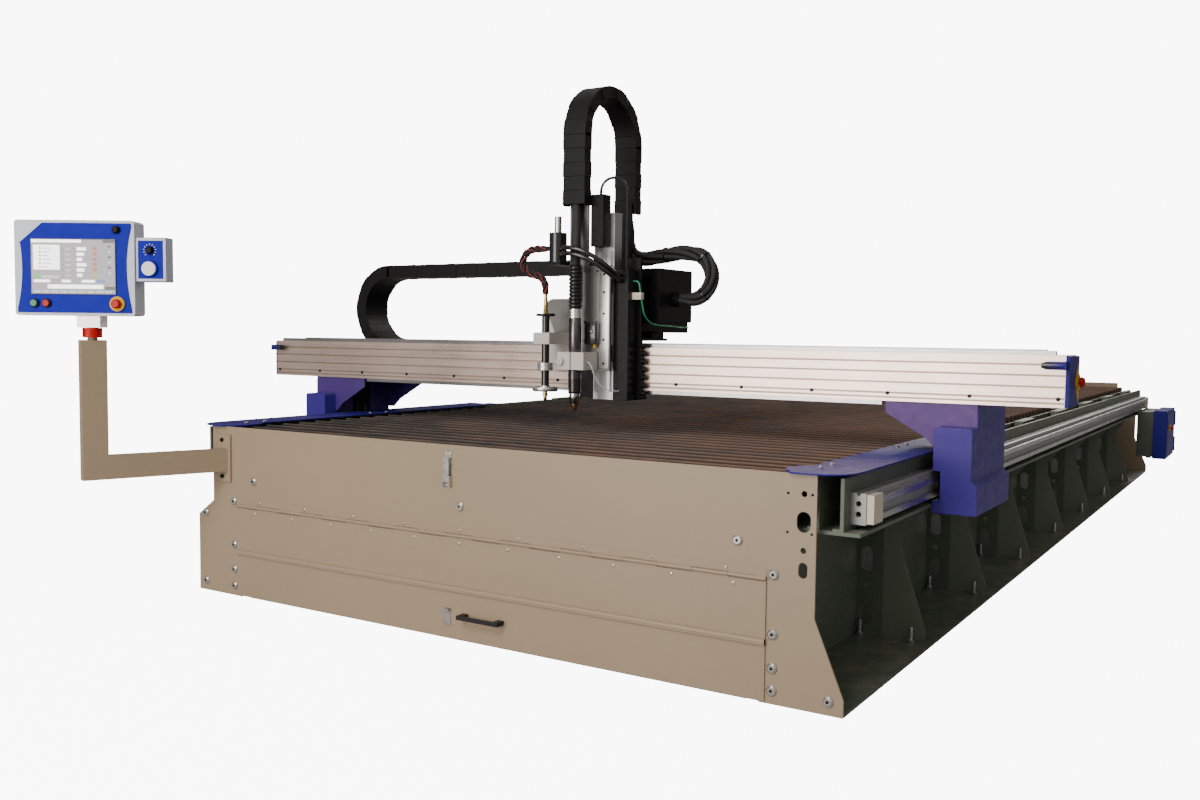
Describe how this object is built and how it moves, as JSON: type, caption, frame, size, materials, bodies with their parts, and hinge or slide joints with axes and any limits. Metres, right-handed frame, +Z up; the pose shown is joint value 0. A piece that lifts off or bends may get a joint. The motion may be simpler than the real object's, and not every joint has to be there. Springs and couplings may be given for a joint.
{
  "type": "CNC plasma cutting table",
  "caption": "Large plate cutting table with a travelling gantry, lifting torch carriage, cable chains, slag door and an operator console on an arm.",
  "frame": {"origin": "on the floor under the middle of the table, at the centre of the four floor anchor holes", "axes": "+X along the front panel to the right, +Y from the front panel to the rear, +Z up"},
  "size_m": [4.021, 8.3323, 2.2404],
  "materials": {
    "panel_paint": "satin beige powder coat",
    "frame_paint": "satin dark green-grey paint",
    "blue_paint": "satin violet-blue powder coat",
    "grey_paint": "satin light grey paint",
    "red_paint": "gloss red",
    "aluminium": "extruded, anodised",
    "steel": "ground",
    "slat_steel": "hot rolled, dull",
    "black_plastic": "matte",
    "black_metal": "black",
    "red_plastic": "gloss",
    "green_plastic": "gloss",
    "white_plastic": "gloss",
    "brass": "turned",
    "rubber": "ribbed",
    "braid": "braided sleeve",
    "glass": "dark screen"
  },
  "bodies": {
    "table": {"front_panel": "panel_paint", "rear_panel": "panel_paint", "bed_trough": "frame_paint", "side_gussets": "frame_paint", "side_shelves": "frame_paint", "rails": "aluminium", "rail_guides": "steel", "rail_stops": "aluminium", "slats": "slat_steel", "side_covers": "blue_paint", "cover_hoops": "frame_paint", "fasteners": "steel", "door_hinge": "steel", "latch_base": "steel", "console_arm": "panel_paint", "clamp_collar": "red_paint", "control_box": "grey_paint", "control_cover": "blue_paint"},
    "door": {"slag_door": "panel_paint", "door_handle": "black_metal"},
    "lever": {"latch_lever": "steel"},
    "gantry": {"beam": "aluminium", "beam_ends": "blue_paint", "legs": "blue_paint", "leg_covers": "blue_paint", "rail_bearings": "aluminium", "drive_motors": "black_metal", "beam_guides": "steel", "beam_chain_low": "black_plastic"},
    "gantry_button": {"gantry_stop": "red_plastic"},
    "carriage": {"carriage_plate": "aluminium", "carriage_motors": "black_metal", "lift_column": "aluminium", "carriage_brackets": "black_metal", "ignition_box": "black_metal", "beam_chain_up": "black_plastic", "lift_chain_rear": "black_plastic", "marker_plate": "aluminium", "hose_bundle": "rubber", "leads": "rubber"},
    "torch_head": {"lift_plate": "aluminium", "torch_clamp": "aluminium", "torch": "black_metal", "bellows": "rubber", "lift_chain_front": "black_plastic", "torch_lead": "rubber"},
    "knob": {"clamp_knob": "black_plastic"},
    "marker_head": {"marker": "brass", "marker_hose": "braid"},
    "console": {"console_case": "grey_paint", "console_face": "blue_paint", "screen": "glass"},
    "green_button": {"push_green": "green_plastic"},
    "red_button": {"push_red": "red_plastic"},
    "stop_button": {"console_stop": "red_plastic"},
    "selector_knob": {"selector": "black_plastic"},
    "dial_knob": {"dial": "black_plastic"},
    "jog_button": {"white_button": "white_plastic"},
    "box_door": {"control_door": "grey_paint"},
    "box_button": {"control_stop": "red_plastic"}
  },
  "joints": [
    {"name": "slag_door_hinge", "type": "hinge", "parent": "table", "child": "door", "pos_m": [0, -3.817, 0.405], "axis": [-1, 0, 0], "range_deg": [0, 145]},
    {"name": "latch_pivot", "type": "hinge", "parent": "table", "child": "lever", "pos_m": [-0.058, -3.822, 0.61], "axis": [1, 0, 0], "range_deg": [0, 150]},
    {"name": "gantry_travel", "type": "slide", "parent": "table", "child": "gantry", "axis": [0, 1, 0], "range_m": [-0.55, 5.2]},
    {"name": "gantry_stop_press", "type": "slide", "parent": "gantry", "child": "gantry_button", "axis": [-1, 0, 0], "range_m": [0, 0.003], "stiffness_N_per_m": 800},
    {"name": "carriage_travel", "type": "slide", "parent": "gantry", "child": "carriage", "axis": [1, 0, 0], "range_m": [-0.95, 1], "deforming": ["beam_chain_up", "beam_chain_low"]},
    {"name": "torch_lift", "type": "slide", "parent": "carriage", "child": "torch_head", "axis": [0, 0, 1], "range_m": [-0.095, 0.06], "deforming": ["lift_chain_front", "lift_chain_rear"]},
    {"name": "clamp_knob_turn", "type": "hinge", "parent": "torch_head", "child": "knob", "pos_m": [0.035, -3.1966, 1.062], "axis": [0, 1, 0], "range_deg": [0, 270]},
    {"name": "marker_lift", "type": "slide", "parent": "carriage", "child": "marker_head", "axis": [0, 0, 1], "range_m": [-0.06, 0.015], "deforming": ["marker_hose"]},
    {"name": "console_swivel", "type": "hinge", "parent": "table", "child": "console", "pos_m": [-1.52298, -4.32274, 1.2], "axis": [0, 0, 1], "range_deg": [-90, 60]},
    {"name": "green_press", "type": "slide", "parent": "console", "child": "green_button", "axis": [-0.5373, 0.8434, 0], "range_m": [0, 0.003], "stiffness_N_per_m": 800},
    {"name": "red_press", "type": "slide", "parent": "console", "child": "red_button", "axis": [-0.5373, 0.8434, 0], "range_m": [0, 0.003], "stiffness_N_per_m": 800},
    {"name": "console_stop_press", "type": "slide", "parent": "console", "child": "stop_button", "axis": [-0.5373, 0.8434, 0], "range_m": [0, 0.003], "stiffness_N_per_m": 800},
    {"name": "jog_press", "type": "slide", "parent": "console", "child": "jog_button", "axis": [-0.5373, 0.8434, 0], "range_m": [0, 0.003], "stiffness_N_per_m": 800},
    {"name": "selector_turn", "type": "hinge", "parent": "console", "child": "selector_knob", "pos_m": [-1.38302, -4.30234, 1.575], "axis": [-0.5373, 0.8434, 0], "range_deg": [-60, 60]},
    {"name": "dial_turn", "type": "hinge", "parent": "console", "child": "dial_knob", "pos_m": [-1.28036, -4.22153, 1.495], "axis": [-0.5373, 0.8434, 0], "range_deg": [-135, 135]},
    {"name": "box_door_hinge", "type": "hinge", "parent": "table", "child": "box_door", "pos_m": [1.7745, 3.378, 0.4], "axis": [0, 0, 1], "range_deg": [0, 110]},
    {"name": "box_stop_press", "type": "slide", "parent": "box_door", "child": "box_button", "axis": [-1, 0, 0], "range_m": [0, 0.003], "stiffness_N_per_m": 800}
  ]
}
